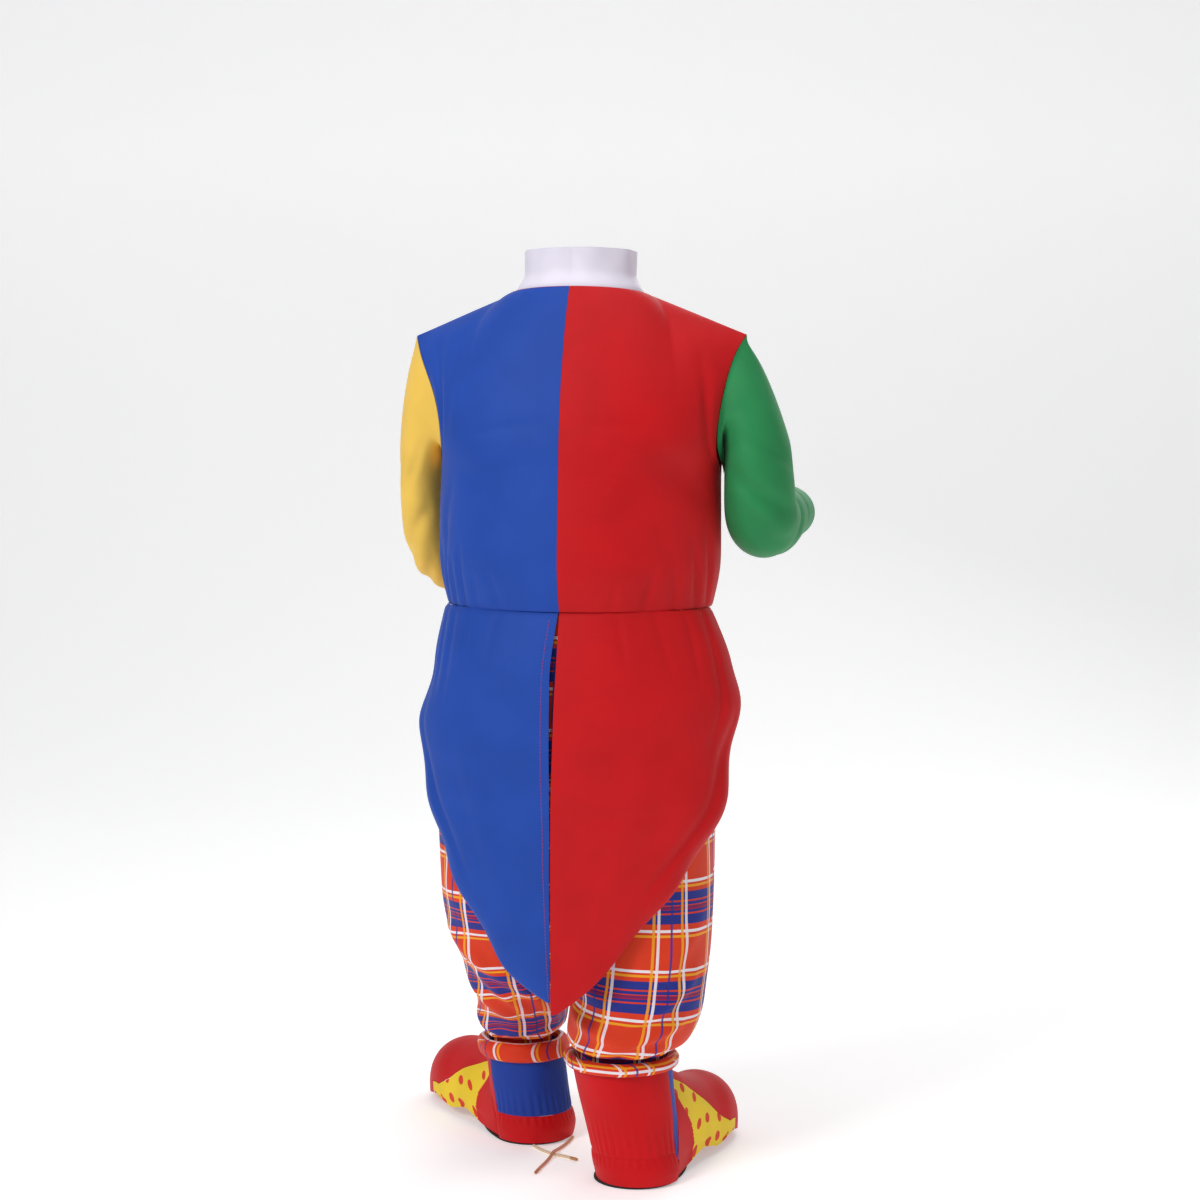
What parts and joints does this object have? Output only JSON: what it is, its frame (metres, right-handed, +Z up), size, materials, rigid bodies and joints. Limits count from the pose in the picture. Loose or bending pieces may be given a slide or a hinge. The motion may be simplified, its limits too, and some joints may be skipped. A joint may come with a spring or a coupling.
{
  "type": "child's costume jumpsuit with swallow tails and sewn-on shoe covers",
  "caption": "Worn, hollow one-piece costume: two-colour bodice with tails, coloured sleeves, stand collar, plaid legs and sewn-on dotted shoe covers.",
  "frame": {"origin": "centre of the neck opening, 1.06 m above the soles, where the wearer's neck and shoulders hold the garment", "axes": "+Z up, -Y the garment's front, +X the wearer's left"},
  "size_m": [0.5279, 0.466, 1.117],
  "materials": {
    "blue_cloth": "smooth woven polyester",
    "red_cloth": "smooth woven polyester",
    "yellow_cloth": "smooth woven polyester",
    "green_cloth": "smooth woven polyester",
    "white_cloth": "thin woven polyester",
    "plaid_cloth": "printed plaid polyester",
    "dotted_cloth": "printed dotted polyester",
    "sole_felt": "dark felt",
    "lace_cord": "braided cord"
  },
  "bodies": {
    "root": {"back_left": "blue_cloth", "back_right": "red_cloth", "front_left": "blue_cloth", "front_right": "red_cloth", "sleeve_left": "yellow_cloth", "sleeve_right": "green_cloth", "collar": "white_cloth", "tail_left": "blue_cloth", "tail_right": "red_cloth", "leg_left_back": "plaid_cloth", "leg_left_front": "plaid_cloth", "leg_right_back": "plaid_cloth", "leg_right_front": "plaid_cloth", "hem_roll_left": "plaid_cloth", "hem_roll_right": "plaid_cloth", "shoe_left_shaft_back": "blue_cloth", "shoe_left_shaft_front": "red_cloth", "shoe_left_heel": "red_cloth", "shoe_left_toe": "red_cloth", "shoe_left_side_outer": "dotted_cloth", "shoe_left_side_inner": "dotted_cloth", "shoe_left_sole": "sole_felt", "shoe_right_shaft_back": "red_cloth", "shoe_right_shaft_front": "blue_cloth", "shoe_right_heel": "red_cloth", "shoe_right_toe": "red_cloth", "shoe_right_side_outer": "dotted_cloth", "shoe_right_side_inner": "dotted_cloth", "shoe_right_sole": "sole_felt", "lace": "lace_cord"}
  },
  "joints": []
}
